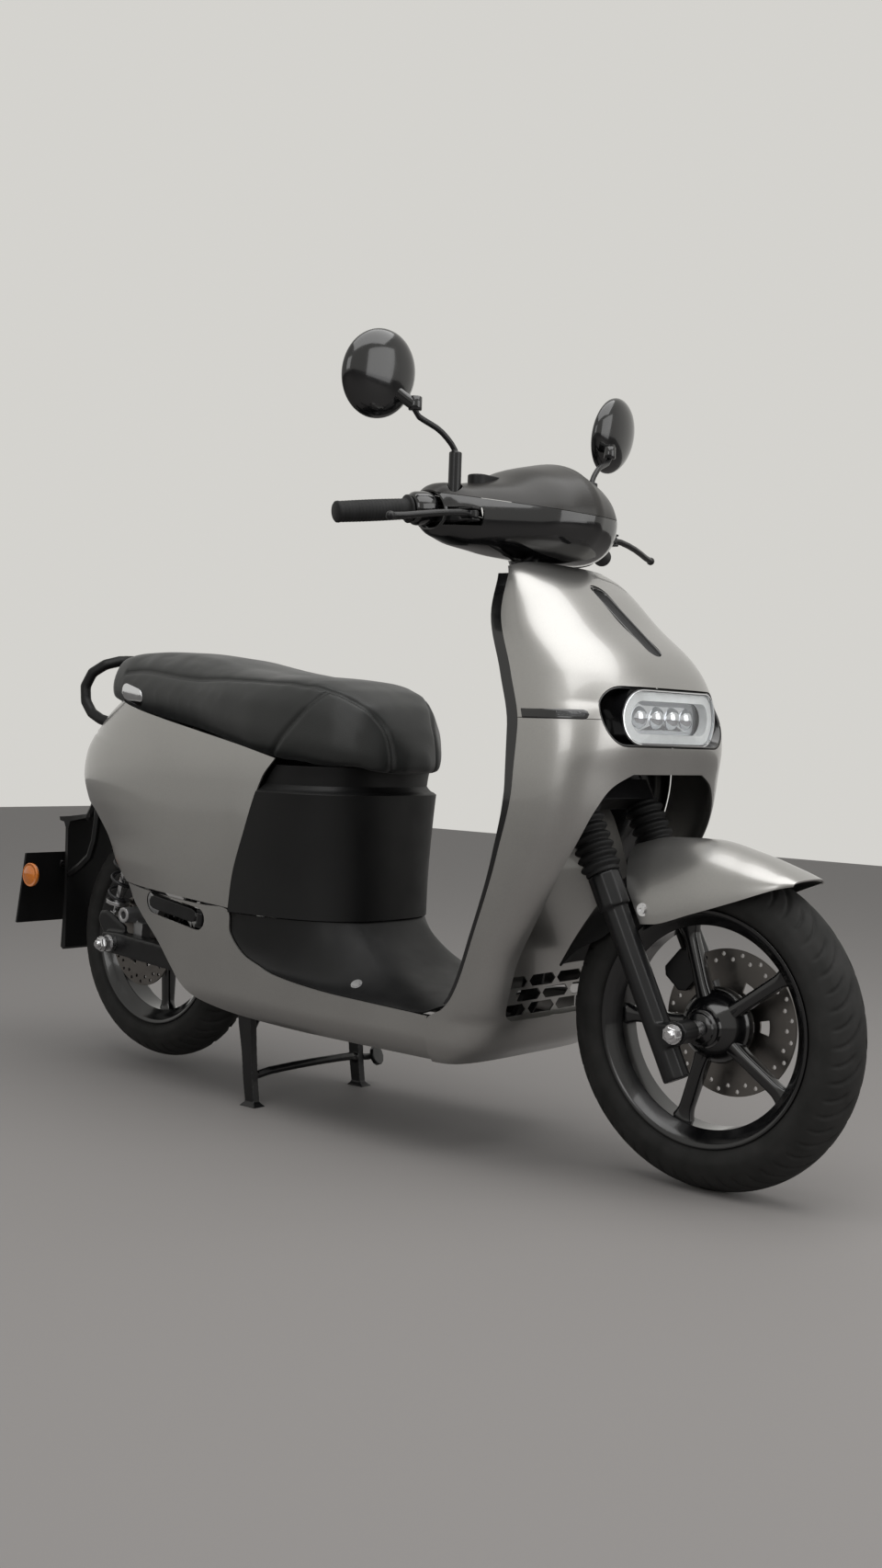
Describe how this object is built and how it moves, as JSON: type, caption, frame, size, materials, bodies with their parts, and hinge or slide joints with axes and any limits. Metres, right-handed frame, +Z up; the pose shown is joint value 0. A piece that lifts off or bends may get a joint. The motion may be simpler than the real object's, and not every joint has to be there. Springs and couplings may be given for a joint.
{
  "type": "seated electric scooter",
  "caption": "Step-through seated electric scooter on a centre stand, with telescopic fork, swingarm, storage bucket under a hinged seat, mirrors and folding footpegs.",
  "frame": {"origin": "on the ground under the middle of the bounding box", "axes": "+X points forward along the scooter, +Y to the rider's left, +Z up"},
  "size_m": [1.896, 0.784, 1.3367],
  "materials": {
    "silver_paint": "metallic paint",
    "black_gloss": "gloss",
    "black_plastic": "satin",
    "grey_plastic": "satin",
    "cowl_satin": "satin paint",
    "lamp": "polished",
    "red_lens": "polished",
    "battery_case": "satin",
    "frame_paint": "satin black",
    "rim_paint": "gloss black",
    "steel": "brushed",
    "spring_steel": "satin",
    "alloy": "cast",
    "tyre_rubber": "matte",
    "rubber": "matte",
    "leather": "grained"
  },
  "bodies": {
    "chassis": {"main_frame": "frame_paint", "front_shield": "silver_paint", "lower_front_panel": "silver_paint", "inner_leg_shield": "black_gloss", "splash_panel": "silver_paint", "headlight": "lamp", "side_sill_right": "silver_paint", "side_sill_left": "silver_paint", "side_panel_right": "silver_paint", "side_panel_left": "silver_paint", "under_seat_cover": "black_plastic", "floorboard": "black_plastic", "storage_bucket": "black_plastic", "battery_pack": "battery_case", "tail_light": "red_lens", "grab_rail": "black_plastic", "rear_mudguard": "black_plastic", "rear_shock_body_right": "frame_paint", "rear_shock_body_left": "frame_paint", "rear_spring_right": "spring_steel", "rear_spring_left": "spring_steel"},
    "steering": {"steering_stem": "frame_paint", "handlebar": "frame_paint", "handlebar_cowl": "cowl_satin", "fork_tube_right": "steel", "fork_tube_left": "steel", "fork_boot_right": "rubber", "fork_boot_left": "rubber", "left_grip": "rubber", "mirror_stem_right": "frame_paint", "mirror_stem_left": "frame_paint"},
    "fork_lowers": {"fork_slider_right": "frame_paint", "fork_slider_left": "frame_paint", "front_fender": "silver_paint", "front_caliper": "frame_paint", "front_axle": "steel"},
    "front_wheel": {"front_rim": "rim_paint", "front_tyre": "tyre_rubber", "front_disc": "steel"},
    "rear_arm": {"swingarm": "frame_paint", "drive_motor": "alloy", "rear_axle": "steel", "rear_caliper": "alloy"},
    "rear_wheel": {"rear_rim": "rim_paint", "rear_tyre": "tyre_rubber", "rear_disc": "steel"},
    "shock_right": {"rear_shock_rod_right": "steel"},
    "shock_left": {"rear_shock_rod_left": "steel"},
    "stand": {"centre_stand": "frame_paint"},
    "seat": {"seat_base": "black_plastic", "seat_cushion": "leather"},
    "peg_right": {"footpeg_right": "frame_paint"},
    "peg_left": {"footpeg_left": "frame_paint"},
    "throttle": {"throttle_grip": "rubber"},
    "lever_right": {"brake_lever_right": "frame_paint"},
    "lever_left": {"brake_lever_left": "frame_paint"},
    "mirror_right": {"mirror_head_right": "black_gloss"},
    "mirror_left": {"mirror_head_left": "black_gloss"},
    "horn": {"horn_button": "grey_plastic"},
    "starter": {"start_button": "grey_plastic"}
  },
  "joints": [
    {"name": "steering_turn", "type": "hinge", "parent": "chassis", "child": "steering", "pos_m": [0.41804, 0, 0.71595], "axis": [-0.4462, 0, 0.8949], "range_deg": [-38, 38]},
    {"name": "fork_slide", "type": "slide", "parent": "steering", "child": "fork_lowers", "axis": [-0.4462, 0, 0.8949], "range_m": [0, 0.07], "stiffness_N_per_m": 9000, "springref_m": -0.035, "deforming": ["fork_boot_right", "fork_boot_left"]},
    {"name": "front_wheel_spin", "type": "hinge", "parent": "fork_lowers", "child": "front_wheel", "pos_m": [0.69, 0, 0.258], "axis": [0, 1, 0], "continuous": true},
    {"name": "swingarm_swing", "type": "hinge", "parent": "chassis", "child": "rear_arm", "pos_m": [-0.2925, 0, 0.235], "axis": [0, 1, 0], "range_deg": [0, 10], "stiffness_Nm_per_rad": 3000, "springref_deg": -2.86},
    {"name": "rear_wheel_spin", "type": "hinge", "parent": "rear_arm", "child": "rear_wheel", "pos_m": [-0.615, 0, 0.259], "axis": [0, 1, 0], "continuous": true},
    {"name": "shock_slide_right", "type": "slide", "parent": "chassis", "child": "shock_right", "axis": [0.2485, 0, 0.9686], "range_m": [0, 0.067], "deforming": ["rear_spring_right"]},
    {"name": "shock_slide_left", "type": "slide", "parent": "chassis", "child": "shock_left", "axis": [0.2485, 0, 0.9686], "range_m": [0, 0.067], "deforming": ["rear_spring_left"]},
    {"name": "stand_fold", "type": "hinge", "parent": "chassis", "child": "stand", "pos_m": [-0.2245, 0, 0.165], "axis": [0, 1, 0], "range_deg": [0, 70]},
    {"name": "seat_open", "type": "hinge", "parent": "chassis", "child": "seat", "pos_m": [0.0075, 0, 0.642], "axis": [0, 1, 0], "range_deg": [0, 70]},
    {"name": "peg_fold_right", "type": "hinge", "parent": "chassis", "child": "peg_right", "pos_m": [-0.3365, -0.163, 0.3352], "axis": [0.1392, 0, 0.9903], "range_deg": [0, 90]},
    {"name": "peg_fold_left", "type": "hinge", "parent": "chassis", "child": "peg_left", "pos_m": [-0.3365, 0.163, 0.3352], "axis": [-0.1392, 0, -0.9903], "range_deg": [0, 90]},
    {"name": "throttle_turn", "type": "hinge", "parent": "steering", "child": "throttle", "pos_m": [0.236, -0.2255, 1.0669], "axis": [-0.356, -0.9256, -0.1282], "range_deg": [0, 70], "stiffness_Nm_per_rad": 0.6, "springref_deg": -5.73},
    {"name": "lever_pull_right", "type": "hinge", "parent": "steering", "child": "lever_right", "pos_m": [0.3235, -0.195, 1.056], "axis": [0, 0, -1], "range_deg": [0, 16], "stiffness_Nm_per_rad": 8, "springref_deg": -2.86},
    {"name": "lever_pull_left", "type": "hinge", "parent": "steering", "child": "lever_left", "pos_m": [0.3235, 0.195, 1.056], "axis": [0, 0, 1], "range_deg": [0, 16], "stiffness_Nm_per_rad": 8, "springref_deg": -2.86},
    {"name": "mirror_turn_right", "type": "hinge", "parent": "steering", "child": "mirror_right", "pos_m": [0.2575, -0.27, 1.228], "axis": [0, 0, 1], "range_deg": [-15, 15]},
    {"name": "mirror_turn_left", "type": "hinge", "parent": "steering", "child": "mirror_left", "pos_m": [0.2575, 0.27, 1.228], "axis": [0, 0, 1], "range_deg": [-15, 15]},
    {"name": "horn_press", "type": "slide", "parent": "steering", "child": "horn", "axis": [1, 0, 0], "range_m": [0, 0.002], "stiffness_N_per_m": 500, "springref_m": -0.0005},
    {"name": "start_press", "type": "slide", "parent": "steering", "child": "starter", "axis": [1, 0, 0], "range_m": [0, 0.002], "stiffness_N_per_m": 500, "springref_m": -0.0005}
  ],
  "couplings": [
    {"joint": "shock_slide_right", "follows": "swingarm_swing", "m_per_rad": 0.3834},
    {"joint": "shock_slide_left", "follows": "swingarm_swing", "m_per_rad": 0.3834}
  ]
}
